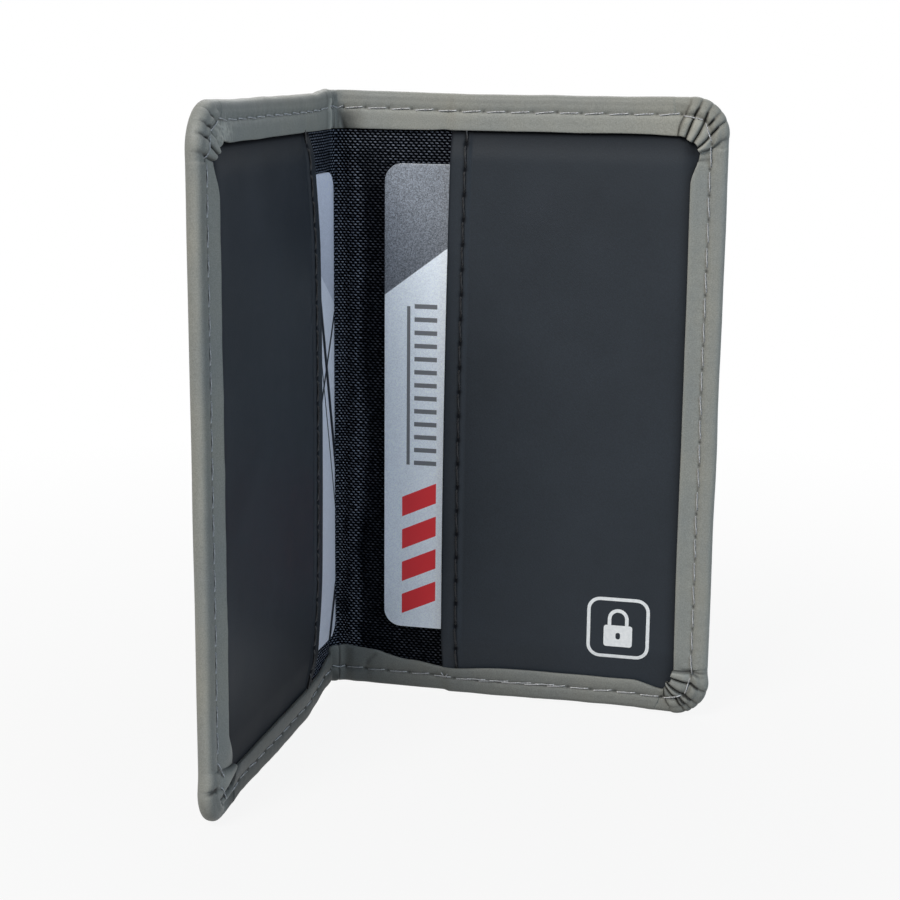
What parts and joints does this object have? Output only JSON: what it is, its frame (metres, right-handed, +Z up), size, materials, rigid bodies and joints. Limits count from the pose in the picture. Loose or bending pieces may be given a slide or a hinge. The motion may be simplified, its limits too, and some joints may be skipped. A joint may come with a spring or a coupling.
{
  "type": "folding card holder",
  "caption": "Folding card holder with turned and stitched edges, gathered corners, a shielding layer, and one pocket holding a card in each panel.",
  "frame": {"origin": "middle of the bottom of the holder's box as it stands open at a right angle", "axes": "+Z up along the fold, +X along the right panel away from the fold, -Y along the left panel away from the fold; the pockets face the inside of the corner"},
  "size_m": [0.0714, 0.0714, 0.1098],
  "materials": {
    "grey_leather": "satin grey faux leather with fine grain",
    "black_leather": "matte charcoal faux leather",
    "black_nylon": "fine woven nylon with a slight shine",
    "grey_board": "plain grey board",
    "shield_foil": "thin laminated foil",
    "card_plastic": "laminated plastic with a fine metallic glitter",
    "grey_thread": "twisted light grey sewing thread",
    "black_thread": "twisted black sewing thread"
  },
  "bodies": {
    "right_panel": {"cover_right": "grey_leather", "board_right": "grey_board", "shield_foil_right": "shield_foil", "lining_right": "black_nylon", "pocket_right": "black_leather", "edge_thread_right": "grey_thread", "pocket_thread_right": "black_thread"},
    "spine": {"cover_spine": "grey_leather", "shield_foil_spine": "shield_foil", "lining_spine": "black_nylon", "spine_thread_top": "grey_thread", "spine_thread_bottom": "grey_thread"},
    "left_panel": {"cover_left": "grey_leather", "board_left": "grey_board", "shield_foil_left": "shield_foil", "lining_left": "black_nylon", "pocket_left": "black_leather", "edge_thread_left": "grey_thread", "pocket_thread_left": "black_thread"},
    "right_card": {"card_right": "card_plastic"},
    "left_card": {"card_left": "card_plastic"}
  },
  "joints": [
    {"name": "right_fold", "type": "hinge", "parent": "right_panel", "child": "spine", "pos_m": [-0.03055, 0.03535, 0], "axis": [0, 0, 1], "range_deg": [-45, 45], "deforming": ["cover_spine", "lining_spine", "shield_foil_spine", "spine_thread_top", "spine_thread_bottom"]},
    {"name": "left_fold", "type": "hinge", "parent": "spine", "child": "left_panel", "pos_m": [-0.03535, 0.03055, 0], "axis": [0, 0, 1], "range_deg": [-45, 45]},
    {"name": "right_card_slide", "type": "slide", "parent": "right_panel", "child": "right_card", "axis": [1, 0, 0], "range_m": [-0.0044, 0]},
    {"name": "left_card_slide", "type": "slide", "parent": "left_panel", "child": "left_card", "axis": [0, -1, 0], "range_m": [0, 0.0058]}
  ],
  "couplings": [
    {"joint": "left_fold", "follows": "right_fold", "ratio": 1}
  ]
}
